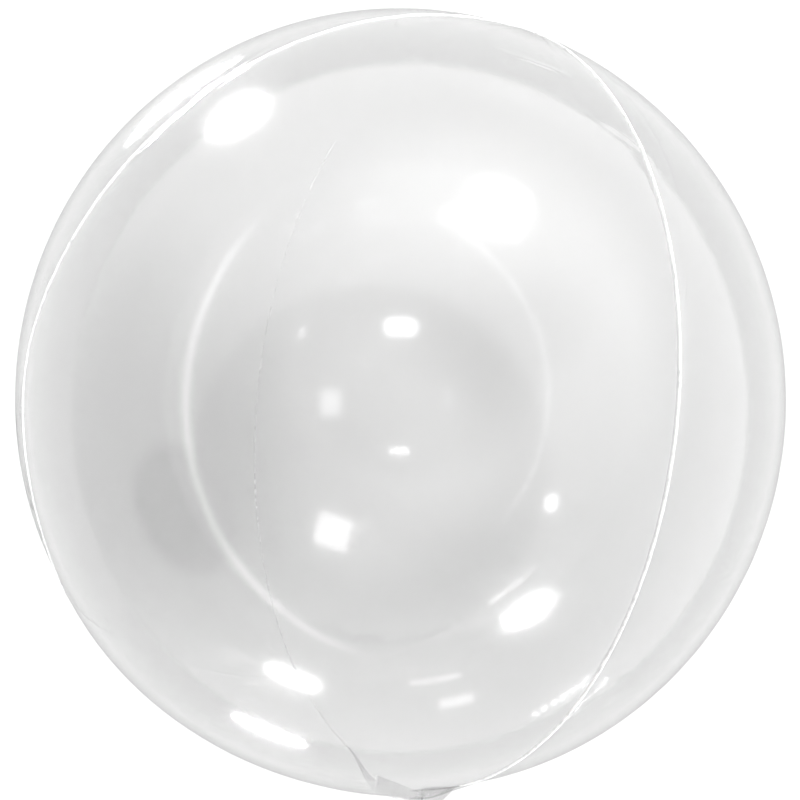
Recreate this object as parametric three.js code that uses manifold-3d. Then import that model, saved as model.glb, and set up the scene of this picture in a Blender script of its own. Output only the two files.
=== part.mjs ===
// A clear bubble balloon: four film gores heat-sealed edge to edge into a ball, a short flat
// inflation tail set in one seam and a small hang ear set in another. It lies on a small flat spot,
// with the tail at -Y and the ear at the top of the +Y side. The gores' poles lean away from Y.
// A sealed balloon is solid here, so each gore is a solid segment of the ball, like one of an orange.

import * as THREE from 'three';
import { mergeVertices } from 'three/addons/utils/BufferGeometryUtils.js';
import Module from 'manifold-3d';

// driving dimensions, in millimetres and degrees
const ballRadius = 190;
const lengthening = 1.015;        // the ball is this much longer along Y
const poleLean = 20.5;            // from +Y towards +X
const poleRise = 22;              // from the XY plane towards +Z
const firstSeamTurn = 34.9;       // the first seam's turn about the pole axis, from +Z towards +X
const seamDip = 1.8;              // how far a seam draws the film in at the ball's widest
const marginWidth = 1.6;          // the weld margin that stands out along each seam
const marginThickness = 1.4;
const restSpotRadius = 22;
const tailAlong = 37.1;           // from the lower pole along the first seam
const tailWidth = 46;             // over both weld margins
const tailThickness = 2;
const tailCornerRadius = 2;
const tailRootReach = ballRadius + marginWidth;
const tailEndReach = ballRadius + 8.6;
const neckRadius = 32;            // where the film starts to draw in towards the tail
const neckSink = 7;               // how far below tailRootReach that is
const earAlong = 21.5;            // from the upper pole along the fourth seam
const earWidth = 7;
const earFootWidth = 12;
const earEndReach = ballRadius + 6.2;
const earThickness = 1.2;
const earTipRise = 2.6;           // the height of its rounded tip
const earHoleRadius = 0.7;
const pieceGap = 0.3;

// how finely the solids are faceted
const ballSteps = 34;
const stepsPerGore = 12;
const neckSteps = 6;
const neckSides = 28;

const goreNames = ['gore_right', 'gore_bottom', 'gore_left', 'gore_top'];
const goreTurn = 360 / goreNames.length;
const secondSeamTurn = firstSeamTurn + goreTurn;    // this plane holds the ear's seam too
const rad = THREE.MathUtils.degToRad;

// shapes are made with the poles on Y, and this turns and lengthens them into place
const lay = new THREE.Matrix4()
  .makeScale(1, lengthening, 1)
  .multiply(new THREE.Matrix4().makeRotationZ(rad(-poleLean)))
  .multiply(new THREE.Matrix4().makeRotationX(rad(poleRise)));

const wasm = await Module();
wasm.setup();

function toSolid(geometry) {
  const bare = geometry.index ? geometry.toNonIndexed() : geometry.clone();
  bare.deleteAttribute('normal');
  bare.deleteAttribute('uv');
  const merged = mergeVertices(bare, 1e-4);
  const corners = merged.index.array;
  const kept = [];
  for (let i = 0; i < corners.length; i += 3) {
    const [a, b, c] = [corners[i], corners[i + 1], corners[i + 2]];
    if (a !== b && b !== c && c !== a) kept.push(a, b, c);
  }
  const vertProperties = new Float32Array(merged.attributes.position.array);
  const triVerts = new Uint32Array(kept);
  return new wasm.Manifold(new wasm.Mesh({ numProp: 3, vertProperties, triVerts }));
}

function toGeometry(solid) {
  const { numProp, vertProperties, triVerts } = solid.getMesh();
  const positions = new Float32Array(triVerts.length * 3);
  triVerts.forEach((vertex, i) => {
    for (let k = 0; k < 3; k++) positions[3 * i + k] = vertProperties[vertex * numProp + k];
  });
  const geometry = new THREE.BufferGeometry();
  geometry.setAttribute('position', new THREE.BufferAttribute(positions, 3));
  geometry.computeVertexNormals();
  return geometry;
}

function movePoints(geometry, move) {
  const places = geometry.attributes.position;
  const point = new THREE.Vector3();
  for (let i = 0; i < places.count; i++) {
    move(point.fromBufferAttribute(places, i));
    places.setXYZ(i, point.x, point.y, point.z);
  }
  return geometry;
}

// the blown film, drawn in along its seams
function ballSolid() {
  const arc = [];
  for (let i = 0; i <= ballSteps; i++) {
    const angle = (Math.PI * i) / ballSteps;
    arc.push(new THREE.Vector2(ballRadius * Math.sin(angle), -ballRadius * Math.cos(angle)));
  }
  const ball = new THREE.LatheGeometry(arc, stepsPerGore * goreNames.length, rad(firstSeamTurn));
  movePoints(ball, (point) => {
    const turn = Math.atan2(point.x, point.z);
    const fromSeam = THREE.MathUtils.euclideanModulo(turn - rad(firstSeamTurn), rad(goreTurn));
    const offCentre = Math.abs(fromSeam / rad(goreTurn) - 0.5) * 2;
    const drawnIn = 1 - (seamDip / ballRadius) * offCentre ** 3;
    point.x *= drawnIn;
    point.z *= drawnIn;
  });
  return toSolid(ball.applyMatrix4(lay));
}

// a flat plate in a seam's plane, drawn with outwards as +Y and swung round from the pole
function seamPlate(shape, thickness, seamTurn, fromPole, curveSegments = 6) {
  const plate = new THREE.ExtrudeGeometry(shape, { depth: thickness, bevelEnabled: false, curveSegments });
  plate.translate(0, 0, -thickness / 2);
  plate.rotateZ(rad(fromPole));
  plate.rotateY(rad(seamTurn - 90));
  return plate.applyMatrix4(lay);
}

// the weld margins of two opposite seams are one thin plate through both poles
function marginSolid(seamTurn) {
  const edge = new THREE.Shape();
  edge.absellipse(0, 0, ballRadius - seamDip + marginWidth, ballRadius + marginWidth, 0, 2 * Math.PI);
  return toSolid(seamPlate(edge, marginThickness + pieceGap, seamTurn, 0, 2 * ballSteps));
}

// the film and its weld margins gather from the round ball to the flat tail
function neckSolid() {
  const foot = tailRootReach - neckSink;
  const rootRadius = tailWidth / 2 - marginWidth;
  const flank = new THREE.CubicBezierCurve(
    new THREE.Vector2(neckRadius, foot),
    new THREE.Vector2(THREE.MathUtils.lerp(neckRadius, rootRadius, 0.6), foot + neckSink * 0.3),
    new THREE.Vector2(rootRadius + 1, tailRootReach - neckSink * 0.4),
    new THREE.Vector2(rootRadius, tailRootReach),
  ).getPoints(neckSteps);
  const profile = [new THREE.Vector2(0, foot), ...flank, new THREE.Vector2(0, tailRootReach)];
  const neck = new THREE.LatheGeometry(profile, neckSides);
  const flatness = (tailThickness + 0.6) / 2 / rootRadius;
  movePoints(neck, (point) => {
    const share = THREE.MathUtils.smoothstep(point.y, foot, tailRootReach);
    point.z *= THREE.MathUtils.lerp(1, flatness, share);
  });
  neck.rotateZ(rad(180 + tailAlong));
  neck.rotateY(rad(firstSeamTurn - 90));
  const margins = new THREE.Shape();
  margins.moveTo(-neckRadius, foot);
  margins.lineTo(neckRadius, foot);
  margins.quadraticCurveTo(tailWidth / 2, foot + marginWidth, tailWidth / 2, tailRootReach);
  margins.lineTo(-tailWidth / 2, tailRootReach);
  margins.quadraticCurveTo(-tailWidth / 2, foot + marginWidth, -neckRadius, foot);
  const plate = seamPlate(margins, marginThickness + pieceGap, firstSeamTurn, 180 + tailAlong);
  return toSolid(neck.applyMatrix4(lay)).add(toSolid(plate));
}

// everything on one side of a plane
function halfSpace(place) {
  const size = 4 * ballRadius;
  const block = new THREE.BoxGeometry(size, size, size);
  place(block, size / 2);
  return toSolid(block);
}

function goreSolid(ball, startTurn) {
  const afterStart = halfSpace((block, half) => {
    block.translate(half + pieceGap / 2, 0, 0);
    block.rotateY(rad(startTurn)).applyMatrix4(lay);
  });
  const beforeEnd = halfSpace((block, half) => {
    block.translate(-half - pieceGap / 2, 0, 0);
    block.rotateY(rad(startTurn + goreTurn)).applyMatrix4(lay);
  });
  return ball.intersect(afterStart).intersect(beforeEnd);
}

function tailShape() {
  const half = tailWidth / 2;
  const root = tailRootReach + pieceGap;
  const corner = tailCornerRadius;
  const strip = new THREE.Shape();
  strip.moveTo(-half, root);
  strip.lineTo(half, root);
  strip.lineTo(half, tailEndReach - corner);
  strip.quadraticCurveTo(half, tailEndReach, half - corner, tailEndReach);
  strip.lineTo(-half + corner, tailEndReach);
  strip.quadraticCurveTo(-half, tailEndReach, -half, tailEndReach - corner);
  strip.lineTo(-half, root);
  return strip;
}

function earShape() {
  const half = earWidth / 2;
  const foot = ballRadius + marginWidth + pieceGap;
  const tip = earEndReach - earTipRise;
  const ear = new THREE.Shape();
  ear.moveTo(-earFootWidth / 2, foot);
  ear.lineTo(earFootWidth / 2, foot);
  ear.quadraticCurveTo(half, foot, half, tip);
  ear.absellipse(0, tip, half, earTipRise, 0, Math.PI);
  ear.quadraticCurveTo(-half, foot, -earFootWidth / 2, foot);
  const hole = new THREE.Path();
  hole.absarc(0, tip + earTipRise / 4, earHoleRadius, 0, 2 * Math.PI, true);
  ear.holes.push(hole);
  return ear;
}

const film = new THREE.MeshStandardMaterial({
  color: 0xe9eced,
  roughness: 0.08,
  metalness: 0,
  transparent: true,
  opacity: 0.2,
});
const weldedFilm = new THREE.MeshStandardMaterial({
  color: 0xdfe3e4,
  roughness: 0.25,
  metalness: 0,
  transparent: true,
  opacity: 0.35,
});

const centreHeight = Math.sqrt(ballRadius ** 2 - restSpotRadius ** 2);
const belowRest = halfSpace((block, half) => block.translate(0, 0, -half - centreHeight));
const wholeBall = ballSolid()
  .add(marginSolid(firstSeamTurn))
  .add(marginSolid(secondSeamTurn))
  .add(neckSolid())
  .subtract(belowRest);

const balloon = new THREE.Group();
balloon.position.z = centreHeight;

function addPiece(name, geometry, material) {
  const piece = new THREE.Mesh(geometry, material);
  piece.name = name;
  balloon.add(piece);
}

goreNames.forEach((name, i) => {
  const gore = goreSolid(wholeBall, firstSeamTurn + i * goreTurn);
  addPiece(name, toGeometry(gore), film);
});
const tail = seamPlate(tailShape(), tailThickness, firstSeamTurn, 180 + tailAlong);
const ear = seamPlate(earShape(), earThickness, secondSeamTurn, earAlong);
addPiece('inflation_tail', tail, weldedFilm);
addPiece('hang_ear', ear, weldedFilm);

const part = new THREE.Group();
part.add(balloon);

export default part;
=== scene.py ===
# A clear bubble balloon: four gores of blown film with raised weld margins, a flat inflation
# tail and a small hang ear, lying on a pale floor and seen from straight above.
from math import acos, atan2, cos, degrees, exp, pi, radians, sin, sqrt

import bmesh
import bpy
from mathutils import Matrix, Vector, noise


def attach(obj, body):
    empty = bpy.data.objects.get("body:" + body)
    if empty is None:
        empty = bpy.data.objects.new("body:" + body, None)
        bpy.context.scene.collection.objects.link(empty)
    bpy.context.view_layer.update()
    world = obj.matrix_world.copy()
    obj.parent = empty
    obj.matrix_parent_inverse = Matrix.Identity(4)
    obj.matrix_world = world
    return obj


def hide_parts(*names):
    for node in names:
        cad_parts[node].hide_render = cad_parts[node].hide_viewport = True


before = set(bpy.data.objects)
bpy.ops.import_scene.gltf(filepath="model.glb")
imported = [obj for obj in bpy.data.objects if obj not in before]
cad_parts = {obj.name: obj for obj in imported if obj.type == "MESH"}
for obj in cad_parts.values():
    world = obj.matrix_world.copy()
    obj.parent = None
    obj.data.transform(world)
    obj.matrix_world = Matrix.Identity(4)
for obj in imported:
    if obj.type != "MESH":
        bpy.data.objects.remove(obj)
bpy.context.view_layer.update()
mm = 0.001

ball = {
    "radius": 190 * mm,
    "lengthening": 1.015,  # along Y
    "poleLean": 20.5,  # degrees from +Y towards +X
    "poleRise": 22,  # degrees up from the floor's plane
    "firstSeam": 34.9,  # degrees about the pole axis, from straight up towards +X
    "restSpot": 22 * mm,
    "settle": 0.9 * mm,  # how softly the film rounds into the flat spot
    "film": 0.2 * mm,  # about four times the real film
    "arcSteps": 480,  # from pole to pole
    "goreSteps": 54,  # across one gore
    "crowding": 0.86,  # how much closer the steps are at the seams
}

seam = {
    "dip": 1.8 * mm,  # how far a seam draws the film in
    "margin": 0.95 * mm,  # how far the weld margin stands out
    "halfGap": 0.13 * mm,  # from the seam's plane to the middle of one layer of the margin
    "groove": 0.45 * mm,  # depth of the sharp fall of the film right beside the two upper seams
    "grooveReach": 1.7 * mm,
    "pucker": 0.32 * mm,  # height of the small folds across a seam
    "puckerRun": 7 * mm,  # from one fold to the next
    "puckerLength": 28 * mm,
    "puckerReach": 13 * mm,  # how far they run into the gore
    "patchRun": 60 * mm,  # from a stretch with strong folds to the next
    "poleGather": 0.9 * mm,  # height of the folds that meet at a pole
    "poleReach": 34 * mm,
    "poleFlat": 12 * mm,  # the folds fade out again this close to the pole
    "poleFold": 9,  # degrees round the pole from one fold to the next
    "rows": 3,  # of faces across the margin
    "closing": 3 * mm,  # how far from the seam the two gores lean together
    "ripple": 0.25 * mm,  # sideways wave of the margin
    "rippleRun": 3.4 * mm,
    "bend": 11.6,  # degrees that the ear's seam strays towards the top on its way down the side
    "bendFrom": 86,  # degrees from the upper pole
    "bendMost": 119,
    "bendTo": 155,
}

# Creases that the blown film keeps, each from one place to another in degrees from the upper pole
# and round it. Past both ends they fade out, by shares of their length
creaseFade = {"past": 0.3, "full": 0.25}
creaseBow = {"swing": 0.4 * mm, "waves": 9}
crinkleRun = 2.6 * mm
creases = [
    {"from": (40.6, 303.4), "to": (51, 306.4), "high": 0.4 * mm, "wide": 1.1 * mm},
    {"from": (40, 301.9), "to": (50, 304.7), "high": -0.35 * mm, "wide": 1.1 * mm},
    {"from": (56.6, 307.2), "to": (60.5, 305.7), "high": 0.45 * mm, "wide": 1.1 * mm},
    {"from": (19.9, 354.5), "to": (19.7, 15.4), "high": 0.45 * mm, "wide": 1.6 * mm},
    {"from": (13, 48), "to": (19.7, 54), "high": -0.5 * mm, "wide": 1.6 * mm},
    {"from": (27.9, 26.3), "to": (31.1, 36.2), "high": 0.4 * mm, "wide": 1.3 * mm},
    {"from": (12, 352), "to": (20.3, 358), "high": 0.3 * mm, "wide": 1.5 * mm},
    {"from": (26, 326.5), "to": (28.6, 331.8), "high": 0.3 * mm, "wide": 1.4 * mm},
    {"from": (95, 305), "to": (108, 311.5), "high": 0.5 * mm, "wide": 2 * mm, "crinkle": 1.2},
    {"from": (107, 311), "to": (119, 317), "high": 0.5 * mm, "wide": 2 * mm, "crinkle": 1.2},
    {"from": (101, 302), "to": (117, 311), "high": -0.7 * mm, "wide": 2.4 * mm},
]

neck = {
    "along": 37.1,  # degrees from the lower pole along the first seam
    "radius": 52 * mm,  # the rise has faded out this far along the seam
    "rise": 6 * mm,  # of the film at the tail's root
    "halfWidth": 20.5 * mm,  # of the stretch with the full rise
    "reach": 24 * mm,  # how far into the gores the ridge runs
    "side": 90 * mm,  # the film further than this from the tail's plane is left alone
    "fold": 0.5 * mm,  # height of the folds that fan out from the tail
    "foldSource": 14 * mm,  # how far behind the seam their lines meet
    "foldCount": 7,  # for each radian
    "foldRun": 60 * mm,
    "foldReach": 38 * mm,
    "foldFrom": 2 * mm,
    "foldFull": 14 * mm,
    "web": 6 * mm,  # how far the margins widen beside the tail
    "webFrom": 18.5 * mm,
    "webFull": 21.5 * mm,
    "webEnd": 52 * mm,
    "seamWidth": 4 * mm,  # how near to the tail's plane the weld counts as the tail's
}

centre = Vector((0, 0, sqrt(ball["radius"] ** 2 - ball["restSpot"] ** 2)))
turnIntoPlace = Matrix.Rotation(radians(-ball["poleLean"]), 4, "Z") @ Matrix.Rotation(
    radians(ball["poleRise"]), 4, "X"
)
lay = Matrix.Translation(centre) @ Matrix.Diagonal((1, ball["lengthening"], 1, 1)) @ turnIntoPlace


def linear(hexColour):
    channels = [int(hexColour[i : i + 2], 16) / 255 for i in (1, 3, 5)]
    return [c / 12.92 if c <= 0.04045 else ((c + 0.055) / 1.055) ** 2.4 for c in channels] + [1]


def addNode(tree, kind, settings=None, inputs=None):
    node = tree.nodes.new(kind)
    for name, value in (settings or {}).items():
        setattr(node, name, value)
    for name, value in (inputs or {}).items():
        if isinstance(value, bpy.types.NodeSocket):
            tree.links.new(value, node.inputs[name])
        else:
            node.inputs[name].default_value = value
    return node


def newMaterial(name):
    material = bpy.data.materials.new(name)
    material.use_nodes = True
    material.node_tree.nodes.clear()
    return material, material.node_tree


def blownFilm(name, tint):
    # Clear polyurethane film, blown smooth: it lets the light through, and mirrors softly
    film = {"tint": tint, "gloss": "#ffffff", "paintedOutlineShade": "#d8d8d8", "roughness": 0.11, "twoFaces": 1.9}
    material, tree = newMaterial(name)
    place = addNode(tree, "ShaderNodeTexCoord").outputs["Object"]
    streak = addNode(tree, "ShaderNodeMapping", inputs={"Vector": place, "Scale": (14, 5, 14)})
    drawn = addNode(
        tree,
        "ShaderNodeTexNoise",
        inputs={"Vector": streak.outputs["Vector"], "Scale": 1.6, "Detail": 3, "Roughness": 0.45},
    )
    bump = addNode(
        tree,
        "ShaderNodeBump",
        inputs={"Height": drawn.outputs["Fac"], "Strength": 0.25, "Distance": 0.4 * mm},
    )
    clear = addNode(tree, "ShaderNodeBsdfTransparent", inputs={"Color": linear(film["tint"])})
    # Where the film is seen nearly along itself at the outline, the mirror's colour is darkened to grey:
    # painted shade that draws the outline as a thin grey line
    slant = addNode(tree, "ShaderNodeLayerWeight").outputs["Facing"]
    shadedMirrorColour = addNode(tree, "ShaderNodeValToRGB", inputs={"Fac": slant})
    shadedMirrorColour.color_ramp.elements[0].position = 0.8
    shadedMirrorColour.color_ramp.elements[0].color = linear(film["gloss"])
    shadedMirrorColour.color_ramp.elements[1].position = 0.93
    shadedMirrorColour.color_ramp.elements[1].color = linear(film["paintedOutlineShade"])
    mirror = addNode(
        tree,
        "ShaderNodeBsdfGlossy",
        inputs={
            "Color": shadedMirrorColour.outputs["Color"],
            "Roughness": film["roughness"],
            "Normal": bump.outputs["Normal"],
        },
    )
    # Both faces of the film mirror, so the outer one does it for both, and the inner one is clear
    angle = addNode(tree, "ShaderNodeFresnel", inputs={"IOR": film["twoFaces"]})
    side = addNode(tree, "ShaderNodeNewGeometry")
    front = addNode(
        tree, "ShaderNodeMath", {"operation": "SUBTRACT"}, {0: 1.0, 1: side.outputs["Backfacing"]}
    )
    share = addNode(
        tree,
        "ShaderNodeMath",
        {"operation": "MULTIPLY"},
        {0: angle.outputs["Fac"], 1: front.outputs["Value"]},
    )
    mix = addNode(
        tree,
        "ShaderNodeMixShader",
        inputs={0: share.outputs["Value"], 1: clear.outputs["BSDF"], 2: mirror.outputs["BSDF"]},
    )
    addNode(tree, "ShaderNodeOutputMaterial", inputs={"Surface": mix.outputs["Shader"]})
    return material


def weldedFilm():
    # Film melted together along the seams: white and milky where the melt held tiny bubbles, and
    # nearly clear elsewhere, which the piece's own milk attribute says. On the lower seam that
    # attribute's white dots are painted glints
    weld = {"milk": "#ffffff", "paintedHollowShade": "#b9bbbb", "roughness": 0.3, "glint": 0.4, "beads": 1.5 * mm}
    material, tree = newMaterial("heat_sealed_film")
    place = addNode(tree, "ShaderNodeTexCoord").outputs["Object"]
    beads = addNode(
        tree, "ShaderNodeTexVoronoi", inputs={"Vector": place, "Scale": 1 / weld["beads"]}
    )
    # Painted shade: the weld greys from the middle of each raised bead to the hollows between them
    colour = addNode(tree, "ShaderNodeValToRGB", inputs={"Fac": beads.outputs["Distance"]})
    colour.color_ramp.elements[0].position = 0.45
    colour.color_ramp.elements[0].color = linear(weld["milk"])
    colour.color_ramp.elements[1].position = 0.95
    colour.color_ramp.elements[1].color = linear(weld["paintedHollowShade"])
    bump = addNode(
        tree,
        "ShaderNodeBump",
        {"invert": True},
        {"Height": beads.outputs["Distance"], "Strength": 0.5, "Distance": 0.3 * mm},
    )
    milk = addNode(
        tree,
        "ShaderNodeBsdfPrincipled",
        inputs={
            "Base Color": colour.outputs["Color"],
            "Roughness": weld["roughness"],
            "IOR": 1.5,
            "Normal": bump.outputs["Normal"],
        },
    )
    glint = addNode(
        tree,
        "ShaderNodeBsdfGlossy",
        inputs={"Color": linear("#ffffff"), "Roughness": weld["glint"], "Normal": bump.outputs["Normal"]},
    )
    milk = addNode(
        tree, "ShaderNodeMixShader", inputs={0: 0.45, 1: milk.outputs["BSDF"], 2: glint.outputs["BSDF"]}
    )
    clear = addNode(tree, "ShaderNodeBsdfTransparent", inputs={"Color": linear("#ffffff")})
    cover = addNode(tree, "ShaderNodeAttribute", {"attribute_name": "milk"})
    mix = addNode(
        tree,
        "ShaderNodeMixShader",
        inputs={0: cover.outputs["Fac"], 1: clear.outputs["BSDF"], 2: milk.outputs["Shader"]},
    )
    addNode(tree, "ShaderNodeOutputMaterial", inputs={"Surface": mix.outputs["Shader"]})
    return material


def paintedFloor():
    # A matt white painted board, so the light that falls on it comes back evenly
    material, tree = newMaterial("matt_white_board")
    place = addNode(tree, "ShaderNodeTexCoord").outputs["Object"]
    grain = addNode(tree, "ShaderNodeTexNoise", inputs={"Vector": place, "Scale": 300, "Detail": 2})
    bump = addNode(
        tree,
        "ShaderNodeBump",
        inputs={"Height": grain.outputs["Fac"], "Strength": 0.05, "Distance": 0.2 * mm},
    )
    board = addNode(
        tree,
        "ShaderNodeBsdfPrincipled",
        inputs={
            "Base Color": linear("#d8d8d8"),
            "Roughness": 0.9,
            "Specular IOR Level": 0,
            "Normal": bump.outputs["Normal"],
        },
    )
    addNode(tree, "ShaderNodeOutputMaterial", inputs={"Surface": board.outputs["BSDF"]})
    return material


clearFilm = blownFilm("blown_polyurethane_film", "#f0f0f0")
# Where the film is gathered, four layers of it lie together
gatheredFilm = blownFilm("gathered_polyurethane_film", "#dedede")
milkyWeld = weldedFilm()
print("materials made")


def smooth(x, low, high):
    x = min(max((x - low) / (high - low), 0), 1)
    return x * x * (3 - 2 * x)


def seamDirection(turn, fromPole=0):
    # A unit vector in a seam's plane, swung round from the upper pole
    outward = Vector((-sin(radians(fromPole)), cos(radians(fromPole)), 0))
    return Matrix.Rotation(radians(turn - 90), 3, "Y") @ outward


tailWay = seamDirection(ball["firstSeam"], 180 + neck["along"])
tailSide = seamDirection(ball["firstSeam"], 90 + neck["along"])
tailThrough = tailWay.cross(tailSide)


def onBall(fromPole, turn):
    flat = sin(radians(fromPole))
    return Vector((flat * sin(radians(turn)), cos(radians(fromPole)), flat * cos(radians(turn))))


def creaseHeight(way):
    height = 0.0
    for crease in creases:
        start = onBall(*crease["from"])
        along = onBall(*crease["to"]) - start
        share = (way - start).dot(along) / along.length_squared
        if -creaseFade["past"] < share < 1 + creaseFade["past"]:
            off = (way - start - along * share).length * ball["radius"]
            off += creaseBow["swing"] * noise.noise(way * creaseBow["waves"])
            ends = smooth(share, -creaseFade["past"], creaseFade["full"])
            ends *= 1 - smooth(share, 1 - creaseFade["full"], 1 + creaseFade["past"])
            crinkle = crease.get("crinkle", 0) * noise.noise(way * ball["radius"] / crinkleRun)
            height += crease["high"] * ends * (1 + crinkle) * exp(-((off / crease["wide"]) ** 2))
    return height


def foldHeight(along, away, seed):
    # Small folds that run across a seam, strongest at the weld
    crest = noise.noise(Vector((along / seam["puckerRun"], away / seam["puckerLength"], seed)))
    patch = 0.5 + 0.5 * noise.noise(Vector((along / seam["patchRun"], seed, 0)))
    return seam["pucker"] * patch * crest * exp(-away / seam["puckerReach"])


def shapeGore(point, startTurn, standing):
    # The point is on a sphere about the origin with the poles on Y. Standing is 0 on the film and
    # 1 at the margin's edge
    radius = ball["radius"]
    polar = acos(max(-1, min(1, point.y / point.length)))
    flatRadius = sin(polar)
    share = (degrees(atan2(point.x, point.z)) - startTurn + 1) % 360 - 1
    share = min(max(share / 90, 0), 1) if flatRadius > 1e-6 else 0.5
    share -= ball["crowding"] * sin(2 * pi * share) / (2 * pi)
    turn = radians(startTurn + 90 * share)
    offCentre = abs(2 * share - 1)
    along = polar * radius
    away = radius * flatRadius * sin(radians(90 * min(share, 1 - share)))
    nearSeam = startTurn if share < 0.5 else startTurn + 90
    stray = seamStray(nearSeam, degrees(polar))
    turn += radians(stray) * offCentre**2
    way = Vector((flatRadius * sin(turn), cos(polar), flatRadius * cos(turn)))

    drawnIn = 1 - seam["dip"] / radius * offCentre**3
    place = Vector((way.x * drawnIn, way.y, way.z * drawnIn)) * radius
    lift = foldHeight(along, away, nearSeam) + creaseHeight(way)
    if round(nearSeam - ball["firstSeam"]) % 360 in (0, 270):
        lift -= seam["groove"] * exp(-away / seam["grooveReach"])
    toPole = radius * flatRadius
    gather = exp(-toPole / seam["poleReach"]) * smooth(toPole, 0, seam["poleFlat"])
    poleFold = noise.noise(Vector((degrees(turn) / seam["poleFold"], 3.7, polar)))
    lift += seam["poleGather"] * gather * poleFold

    # The neck: the film rises to the tail's root as a ridge, with folds that fan out from it
    beside = place.dot(tailSide)
    toTail = place.dot(tailWay) > 0 and abs(place.dot(tailThrough)) < neck["side"]
    rootShare = 0.0
    if toTail and abs(beside) < 1.6 * neck["radius"]:
        rootShare = 1 - smooth(abs(beside), neck["halfWidth"], neck["radius"])
        lift += neck["rise"] * rootShare * exp(-away / neck["reach"])
        fan = atan2(beside, away + neck["foldSource"])
        spread = sqrt(beside**2 + away**2)
        fold = noise.noise(Vector((fan * neck["foldCount"], spread / neck["foldRun"], nearSeam)))
        fold *= exp(-spread / neck["foldReach"]) * smooth(spread, neck["foldFrom"], neck["foldFull"])
        lift += neck["fold"] * fold

    web = 0.0
    if toTail:
        web = smooth(abs(beside), neck["webFrom"], neck["webFull"])
        web *= 1 - smooth(abs(beside), neck["webFull"], neck["webEnd"])
    height = standing * (seam["margin"] * (1 - rootShare) + neck["web"] * web)
    place += way * (lift + height)

    # Each layer of the weld keeps just clear of the seam's plane, and the margin's edge waves
    plane = Vector((cos(radians(nearSeam + stray)), 0, -sin(radians(nearSeam + stray))))
    inward = plane if share < 0.5 else -plane
    clearance = seam["halfGap"] - place.dot(inward)
    lean = max(clearance, 0) * exp(-away / seam["closing"]) if away > 0 else clearance
    place += inward * lean
    wave = noise.noise(Vector((along / seam["rippleRun"], 8.1, nearSeam % 360)))
    return place + plane * seam["ripple"] * standing**2 * wave * (1 - rootShare)


def seamStray(nearSeam, polar):
    if round(nearSeam - ball["firstSeam"]) % 360 != 270:
        return 0.0
    grown = smooth(polar, seam["bendFrom"], seam["bendMost"])
    return seam["bend"] * grown * (1 - smooth(polar, seam["bendMost"], seam["bendTo"]))


def nearTail(point):
    onSeam = abs(point.dot(tailThrough)) < neck["seamWidth"]
    return onSeam and point.dot(tailWay) > 0 and abs(point.dot(tailSide)) < neck["webEnd"]


# How milky each weld is, from 0 for clear to 1 for white, by its place round the pole axis
weldMilk = {
    "patch": 22 * mm,
    "tailSeam": (0.6, 0.35),  # the least, and how much more it is in patches
    "earSeam": (0.2, 0.45),
    "earSeamEnd": 125,  # degrees from the upper pole
    "paintedGlintDots": 0.9,
    "dotSize": 3.2 * mm,
    "dotsFrom": (58, 76),
    "dotsFade": (125, 140),
}


def milkAt(point):
    # The upper seam that meets the tail is milky, the ear's less so, the lower one has white dots
    # that are painted glints, and the last is clear
    turn = (degrees(atan2(point.x, point.z)) - ball["firstSeam"]) % 360
    polar = degrees(acos(max(-1, min(1, point.y / point.length))))
    patch = 0.5 + 0.5 * noise.noise(point / weldMilk["patch"])
    if nearTail(point):
        return 0.0
    if turn < 45 or turn > 315:
        least, more = weldMilk["tailSeam"]
        return least + more * patch
    if turn > 225:
        least, more = weldMilk["earSeam"]
        return least + more * patch if polar < weldMilk["earSeamEnd"] else 0.0
    if turn > 135:
        # Painted glints: milky white dots on the clear lower weld, where it glints
        dots = smooth(noise.noise(point / weldMilk["dotSize"]), -0.3, 0.2)
        dots *= smooth(polar, *weldMilk["dotsFrom"])
        return weldMilk["paintedGlintDots"] * dots * (1 - 0.5 * smooth(polar, *weldMilk["dotsFade"]))
    return 0.0


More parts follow.
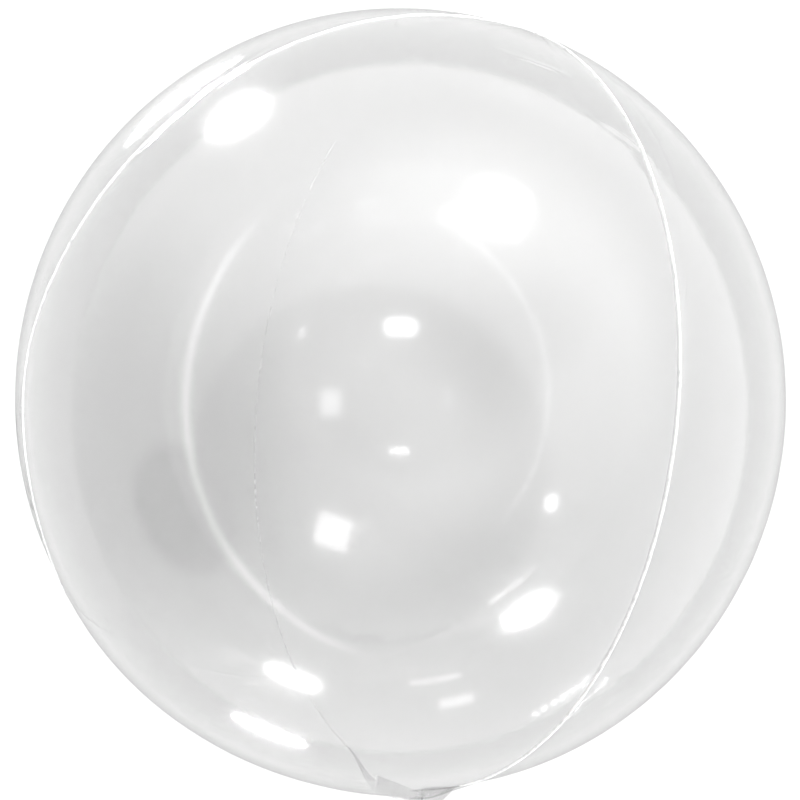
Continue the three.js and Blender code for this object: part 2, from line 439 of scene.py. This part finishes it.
def makeGore(name, startTurn):
    bm = bmesh.new()
    bmesh.ops.create_circle(bm, segments=2 * ball["arcSteps"], radius=ball["radius"])
    gone = [v for v in bm.verts if v.co.x < -1e-7]
    bmesh.ops.delete(bm, geom=gone, context="VERTS")
    bmesh.ops.rotate(
        bm, verts=bm.verts, cent=(0, 0, 0), matrix=Matrix.Rotation(radians(startTurn - 90), 3, "Y")
    )
    bmesh.ops.spin(
        bm,
        geom=bm.verts[:] + bm.edges[:],
        cent=(0, 0, 0),
        axis=(0, 1, 0),
        dvec=(0, 0, 0),
        angle=radians(90),
        steps=ball["goreSteps"],
        use_merge=False,
        use_duplicate=False,
    )
    bmesh.ops.remove_doubles(bm, verts=bm.verts, dist=1e-6)
    bmesh.ops.recalc_face_normals(bm, faces=bm.faces)
    if sum(f.normal.dot(f.calc_center_median()) for f in bm.faces) < 0:
        bmesh.ops.reverse_faces(bm, faces=bm.faces)
    standing = bm.verts.layers.float.new("standing")
    milk = bm.verts.layers.float.new("milk")
    edge = [e for e in bm.edges if e.is_boundary]
    for row in range(1, seam["rows"] + 1):
        grown = bmesh.ops.extrude_edge_only(bm, edges=edge)["geom"]
        for vert in (g for g in grown if isinstance(g, bmesh.types.BMVert)):
            vert[standing] = row / seam["rows"]
        for face in (g for g in grown if isinstance(g, bmesh.types.BMFace)):
            face.material_index = 1
        edge = [g for g in grown if isinstance(g, bmesh.types.BMEdge) and g.is_boundary]
    for face in bm.faces:
        if nearTail(face.calc_center_median()):
            face.material_index = 0
    for vert in bm.verts:
        vert[milk] = milkAt(vert.co)
        vert.co = shapeGore(vert.co, startTurn, vert[standing])
    bm.transform(lay)
    for vert in bm.verts:
        settled = (vert.co.z + sqrt(vert.co.z**2 + ball["settle"] ** 2)) / 2
        vert.co.z = max(settled, ball["film"] / 2)
    mesh = bpy.data.meshes.new(name)
    bm.to_mesh(mesh)
    bm.free()
    piece = bpy.data.objects.new(name, mesh)
    bpy.context.scene.collection.objects.link(piece)
    mesh.materials.append(clearFilm)
    mesh.materials.append(milkyWeld)
    wall = piece.modifiers.new("wall", "SOLIDIFY")
    wall.thickness = ball["film"]
    wall.offset = 0
    mesh.shade_smooth()
    mesh.set_sharp_from_angle(angle=radians(50))
    return piece


goreNames = ["gore_right", "gore_bottom", "gore_left", "gore_top"]
for i, goreName in enumerate(goreNames):
    gore = makeGore("film_" + goreName, ball["firstSeam"] + 90 * i)
    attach(gore, "root")
    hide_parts(goreName)
print("gores made")


tail = {
    "root": ball["radius"] + 1.2 * mm,
    "end": ball["radius"] + 9 * mm,
    "halfWidth": 22.6 * mm,
    "weld": 1.8 * mm,  # width of the weld along its edges
    "corner": 2.2 * mm,
    "endWave": 0.25 * mm,  # unevenness of the cut end
    "endWaveRun": 9 * mm,
    "pleat": 0.35 * mm,  # height of the folds left by gathering
    "pleatRun": 3.4 * mm,
    "finePleatRun": 1.5 * mm,
    "pleatFrom": 6 * mm,  # from the edge, where the folds are at full height
    "film": 0.4 * mm,
    "valve": 8 * mm,  # half the width of the filling valve's film
    "valveWeld": (0.3 * mm, 0.7 * mm),
    "milk": {"edge": 0.3, "end": 0.25, "valve": 0.22, "film": 0.05},
    "clearBelow": 0.2,  # less milk than this is gathered film, not weld
}

ear = {
    "along": 21.5,  # degrees from the upper pole along the fourth seam
    "foot": ball["radius"] + 1.5 * mm,
    "tip": ball["radius"] + 6.2 * mm,
    "tipRise": 2.6 * mm,
    "halfWidth": 3.5 * mm,
    "halfFoot": 6 * mm,
    "hole": 0.75 * mm,
    "film": 0.8 * mm,
    "sides": 64,
    "rows": 10,
    "milk": (0.1, 0.2),  # of the film, and how much more the beads at its edge and its hole have
    "clearBelow": 0.2,
    "curl": 0.35 * mm,
    "curlRun": 3 * mm,
}


def finishPiece(bm, name, thickness, node):
    bm.transform(lay)
    mesh = bpy.data.meshes.new(name)
    bm.to_mesh(mesh)
    bm.free()
    piece = bpy.data.objects.new(name, mesh)
    bpy.context.scene.collection.objects.link(piece)
    mesh.materials.append(gatheredFilm)
    mesh.materials.append(milkyWeld)
    wall = piece.modifiers.new("wall", "SOLIDIFY")
    wall.thickness = thickness
    wall.offset = 0
    edges = piece.modifiers.new("edges", "BEVEL")
    edges.width = 0.12 * mm
    edges.segments = 2
    edges.limit_method = "ANGLE"
    edges.angle_limit = radians(50)
    mesh.shade_smooth()
    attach(piece, "root")
    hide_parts(node)
    return piece


def makeTail():
    bm = bmesh.new()
    bmesh.ops.create_grid(bm, x_segments=150, y_segments=26, size=1)
    milk = bm.verts.layers.float.new("milk")
    for vert in bm.verts:
        across = vert.co.x * tail["halfWidth"]
        share = (vert.co.y + 1) / 2
        nearEdge = tail["halfWidth"] - abs(across)
        cut = max(tail["corner"] - nearEdge, 0)
        length = tail["end"] - tail["root"]
        length -= tail["corner"] - sqrt(max(tail["corner"] ** 2 - cut**2, 0))
        length -= tail["endWave"] * noise.noise(Vector((across / tail["endWaveRun"], 0, 4)))
        held = smooth(nearEdge, 0, tail["pleatFrom"])
        pleat = noise.noise(Vector((across / tail["pleatRun"], share * 0.7, 1.2)))
        pleat += 0.5 * noise.noise(Vector((across / tail["finePleatRun"], share, 5.5)))
        edgeWeld = 1 - smooth(nearEdge, tail["weld"] * 0.7, tail["weld"])
        endWeld = smooth(share * length, length - tail["weld"] * 1.1, length - tail["weld"] * 0.8)
        valveWeld = 1 - smooth(abs(abs(across) - tail["valve"]), *tail["valveWeld"])
        welds = {"edge": edgeWeld, "end": endWeld, "valve": valveWeld, "film": 1}
        vert[milk] = max(tail["milk"][weld] * welds[weld] for weld in welds)
        flat = max(edgeWeld, endWeld * 0.8)
        lift = tail["pleat"] * held * pleat * (1 - 0.7 * flat)
        way = tailWay * (tail["root"] + share * length)
        vert.co = way + tailSide * across + tailThrough * lift
    for face in bm.faces:
        face.material_index = 1 if max(v[milk] for v in face.verts) > tail["clearBelow"] else 0
    return finishPiece(bm, "film_inflation_tail", tail["film"], "inflation_tail")


def earOutline(share):
    # Half way round, from the tip down one side to the middle of the foot
    middle = ear["tip"] - ear["tipRise"]
    if share < 0.5:
        turn = pi / 2 * (1 - share / 0.5)
        return ear["halfWidth"] * cos(turn), middle + ear["tipRise"] * sin(turn)
    if share < 0.75:
        down = (share - 0.5) / 0.25
        spread = ear["halfWidth"] + (ear["halfFoot"] - ear["halfWidth"]) * down**2
        return spread, middle + (ear["foot"] - middle) * down
    return ear["halfFoot"] * (1 - share) / 0.25, ear["foot"]


def makeEar():
    bm = bmesh.new()
    bmesh.ops.create_circle(bm, segments=ear["sides"], radius=1)
    milk = bm.verts.layers.float.new("milk")
    ringShare = bm.verts.layers.float.new("ringShare")
    edge = bm.edges[:]
    for row in range(1, ear["rows"] + 1):
        grown = bmesh.ops.extrude_edge_only(bm, edges=edge)["geom"]
        for vert in (g for g in grown if isinstance(g, bmesh.types.BMVert)):
            vert[ringShare] = row / ear["rows"]
        # Known fault: the stored share is rounded and never equals this one, so only the first row
        # grows, and the ear stays a small ring round its hole
        edge = [
            g
            for g in grown
            if isinstance(g, bmesh.types.BMEdge)
            and all(v[ringShare] == row / ear["rows"] for v in g.verts)
        ]
    middle = ear["tip"] - 0.72 * ear["tipRise"]
    way = seamDirection(ball["firstSeam"] + 90, ear["along"])
    side = seamDirection(ball["firstSeam"] + 90, ear["along"] - 90)
    through = way.cross(side)
    for vert in bm.verts:
        turn = atan2(vert.co.x, vert.co.y)
        across, up = earOutline(abs(turn) / pi)
        across = across if turn > 0 else -across
        hole = (ear["hole"] * sin(turn), middle + ear["hole"] * cos(turn))
        share = vert[ringShare]
        bead = max(1 - abs(share - 0.93) / 0.12, 0) + max(1 - share / 0.15, 0)
        vert[milk] = ear["milk"][0] + ear["milk"][1] * min(bead, 1)
        u = hole[0] + (across - hole[0]) * share
        v = hole[1] + (up - hole[1]) * share
        curl = ear["curl"] * noise.noise(Vector((u / ear["curlRun"], v / ear["curlRun"], 0.4)))
        vert.co = side * u + way * v + through * curl
    for face in bm.faces:
        face.material_index = 1 if max(v[milk] for v in face.verts) > ear["clearBelow"] else 0
    bmesh.ops.recalc_face_normals(bm, faces=bm.faces)
    return finishPiece(bm, "film_hang_ear", ear["film"], "hang_ear")


makeTail()
makeEar()
print("tail and ear made")

floorSpec = {"radius": 1400 * mm, "sides": 128, "middle": (-350 * mm, 350 * mm)}


def makeFloor():
    bm = bmesh.new()
    bmesh.ops.create_circle(
        bm, cap_ends=True, segments=floorSpec["sides"], radius=floorSpec["radius"]
    )
    bmesh.ops.translate(bm, verts=bm.verts, vec=(*floorSpec["middle"], 0))
    mesh = bpy.data.meshes.new("floor")
    bm.to_mesh(mesh)
    bm.free()
    floor = bpy.data.objects.new("floor", mesh)
    bpy.context.scene.collection.objects.link(floor)
    mesh.materials.append(paintedFloor())


makeFloor()


def wayTo(fromZenith, turn):
    # A unit vector; turn is counted from +X towards +Y
    flat = sin(radians(fromZenith))
    return Vector((flat * cos(radians(turn)), flat * sin(radians(turn)), cos(radians(fromZenith))))


# The studio that the film mirrors: a base brightness, and cards that add light or take it away.
# Each card is round: middle as (degrees from straight up, turn), full out to one angle, soft to the next
studio = {
    "room": 0.8,
    "base": 1.82,
    "right": 0.39,
    "up": 0.47,
    "least": 0.02,
    "cards": [
        {"at": (33, 40), "full": 0, "out": 63, "add": 1.69},
        {"at": (50, 115), "full": 5, "out": 58, "add": 0.45},
        {"at": (77, 190), "full": 5, "out": 56, "add": -0.73},
        {"at": (20, 248), "full": 46, "out": 50, "add": -0.45},
        {"at": (15, 255), "full": 0, "out": 40, "add": 0.95},
        {"at": (8, 60), "full": 0, "out": 30, "add": -0.78},
        {"at": (68, 206), "full": 12, "out": 17, "add": -0.6},
        {"at": (85, 250), "full": 10, "out": 50, "add": 0.43},
        {"at": (40, 205), "full": 0, "out": 40, "add": -0.15},
        {"at": (85, 20), "full": 5, "out": 50, "add": -0.16},
    ],
    "ring": {
        "at": (13.8, 357),
        "angle": 72.3,
        "half": 1.6,
        "add": 3.6,
        "side": {"at": (68, 196), "full": 40, "out": 66},  # the ring is lit only round this
    },
}


def studioWorld():
    world = bpy.data.worlds.new("studio")
    world.use_nodes = True
    world.cycles_visibility.diffuse = False  # the softbox lights the floor
    tree = world.node_tree
    tree.nodes.clear()
    way = addNode(tree, "ShaderNodeTexCoord").outputs["Generated"]

    def combine(operation, first, second, third=None):
        inputs = {0: first, 1: second}
        if third is not None:
            inputs[2] = third
        return addNode(tree, "ShaderNodeMath", {"operation": operation}, inputs).outputs["Value"]

    def facing(direction):
        return addNode(
            tree, "ShaderNodeVectorMath", {"operation": "DOT_PRODUCT"}, {0: way, 1: direction}
        ).outputs["Value"]

    def card(nearness, full, out, add):
        limits = {"From Min": cos(radians(out)), "From Max": cos(radians(full)), "To Max": add}
        return addNode(
            tree,
            "ShaderNodeMapRange",
            {"interpolation_type": "SMOOTHSTEP"},
            {"Value": nearness, "To Min": 0.0, **limits},
        ).outputs["Result"]

    light = combine("MULTIPLY_ADD", facing((1, 0, 0)), studio["right"], studio["base"])
    light = combine("MULTIPLY_ADD", facing((0, 1, 0)), studio["up"], light)
    for spec in studio["cards"]:
        lit = card(facing(wayTo(*spec["at"])), spec["full"], spec["out"], spec["add"])
        light = combine("ADD", light, lit)
    ring = studio["ring"]
    nearness = facing(wayTo(*ring["at"]))
    outer = card(nearness, ring["angle"], ring["angle"] + ring["half"], ring["add"])
    inner = card(nearness, ring["angle"] - ring["half"], ring["angle"], 1)
    strip = combine("MULTIPLY", outer, combine("SUBTRACT", 1.0, inner))
    side = card(facing(wayTo(*ring["side"]["at"])), ring["side"]["full"], ring["side"]["out"], 1)
    light = combine("ADD", light, combine("MULTIPLY", strip, side))
    light = combine("MAXIMUM", light, studio["least"])
    # Beyond the floor the room itself is plain and pale
    seen = addNode(tree, "ShaderNodeLightPath").outputs["Is Camera Ray"]
    light = combine("ADD", light, combine("MULTIPLY", seen, combine("SUBTRACT", studio["room"], light)))
    sky = addNode(
        tree, "ShaderNodeBackground", inputs={"Color": linear("#ffffff"), "Strength": light}
    )
    addNode(tree, "ShaderNodeOutputWorld", inputs={"Surface": sky.outputs["Background"]})
    bpy.context.scene.world = world


studioWorld()


def addPanel(spec):
    # A flat light that faces the ball, or the point at "aim" beside its centre
    width, height = spec["size"]
    light = bpy.data.lights.new(spec["name"], "AREA")
    light.shape = spec.get("shape", "ELLIPSE")
    light.size = width
    light.size_y = height
    area = width * height * (pi / 4 if light.shape == "ELLIPSE" else 1)
    light.energy = spec["glow"] * pi * area
    light.spread = radians(spec.get("spread", 180))
    panel = bpy.data.objects.new(spec["name"], light)
    bpy.context.scene.collection.objects.link(panel)
    place = centre + wayTo(*spec["at"]) * spec["distance"]
    aim = centre + Vector(spec.get("aim", (0, 0, 0)))
    facing = (place - aim).to_track_quat("Z", "Y").to_matrix().to_4x4()
    panel.matrix_world = (
        Matrix.Translation(place) @ facing @ Matrix.Rotation(radians(spec.get("roll", 0)), 4, "Z")
    )
    panel.visible_camera = False
    panel.visible_diffuse = spec.get("lights", False)
    panel.visible_glossy = not panel.visible_diffuse
    return panel


addPanel(
    {
        "name": "ceiling_softbox",
        "at": (8, 60),
        "distance": 1.8,
        "size": (6, 6),
        "shape": "RECTANGLE",
        "glow": 2.5,
        "lights": True,
    }
)
# Softboxes that the film mirrors, at degrees from straight up and turn, in metres
mirrored = [
    {"name": "key_softbox", "at": (57, 61.8), "distance": 4, "size": (0.82, 0.9), "glow": 8, "roll": 12},
    {"name": "key_fill", "at": (51, 69), "distance": 4, "size": (0.9, 0.28), "glow": 1.6, "roll": 25},
    {"name": "small_softbox", "at": (18.2, 89), "distance": 4, "size": (0.48, 0.22), "glow": 13},
    {"name": "spot_right", "at": (49.3, 327), "distance": 4, "size": (0.24, 0.2), "glow": 9, "roll": 40},
    {"name": "spot_left", "at": (17.6, 182), "distance": 4, "size": (0.44, 0.36), "glow": 2.4},
    {"name": "faint_bar", "at": (74, 278), "distance": 1.4, "size": (0.26, 0.03), "glow": 3},
    {"name": "faint_blob", "at": (82, 281.7), "distance": 1.2, "size": (0.14, 0.07), "glow": 2},
]
# Each has a larger faint one round it, for its soft edge
halo = {"larger": 1.6, "fainter": 14}
for spec in mirrored:
    addPanel({**spec, "shape": "RECTANGLE"})
    size = [side * halo["larger"] for side in spec["size"]]
    glow = spec["glow"] / halo["fainter"]
    addPanel({**spec, "name": spec["name"] + "_halo", "size": size, "glow": glow})
# Nearer ones, each aimed at the place on the ball that shows it, in metres from its centre
aimed = {
    "side_bar": {
        "at": (79.3, 248.7),
        "distance": 1.4,
        "size": (0.24, 0.02),
        "glow": 12,
        "aim": (-0.039, -0.099, 0.158),
    },
    "low_bar": {
        "at": (90, 248.3),
        "distance": 0.45,
        "size": (0.095, 0.006),
        "glow": 12,
        "aim": (-0.05, -0.127, 0.132),
    },
    "low_softbox_front": {
        "at": (79, 120.2),
        "distance": 0.46,
        "size": (0.085, 0.075),
        "shape": "ELLIPSE",
        "glow": 8,
        "aim": (-0.062, 0.106, 0.145),
    },
    "low_softbox_far": {
        "at": (112, 123.4),
        "distance": 0.42,
        "size": (0.07, 0.06),
        "shape": "ELLIPSE",
        "glow": 14,
        "aim": (0.086, -0.136, -0.101),
    },
    "floor_strip": {
        "at": (109, 126.3),
        "distance": 0.565,
        "size": (0.26, 0.026),
        "glow": 1.4,
        "spread": 18,
        "aim": (-0.088, 0.122, 0.117),
    },
}
for name, spec in aimed.items():
    addPanel({"name": name, "spread": 44, "shape": "RECTANGLE", **spec})
lampRow = {"lamps": 7, "from": 294.7, "to": 305.5, "low": 87.6}
for i in range(lampRow["lamps"]):
    share = i / (lampRow["lamps"] - 1)
    turn = lampRow["from"] + (lampRow["to"] - lampRow["from"]) * share
    addPanel(
        {
            "name": f"lamp_{i}",
            "at": (lampRow["low"], turn),
            "distance": 0.5,
            "size": (0.009, 0.009),
            "glow": 9,
        }
    )

camera = bpy.data.objects.new("camera", bpy.data.cameras.new("camera"))
bpy.context.scene.collection.objects.link(camera)
view = {"distance": 492 * mm, "lens": 41.55, "sensor": 36, "shift": 0.000625}
camera.data.lens = view["lens"]
camera.data.sensor_width = view["sensor"]
camera.data.shift_x = view["shift"]
camera.data.shift_y = view["shift"]
camera.location = centre + Vector((0, 0, view["distance"]))
camera.data.clip_start = 0.01
bpy.context.scene.camera = camera
bpy.context.scene.view_settings.view_transform = "Standard"
bpy.context.scene.cycles.transparent_max_bounces = 32
print("stage set")
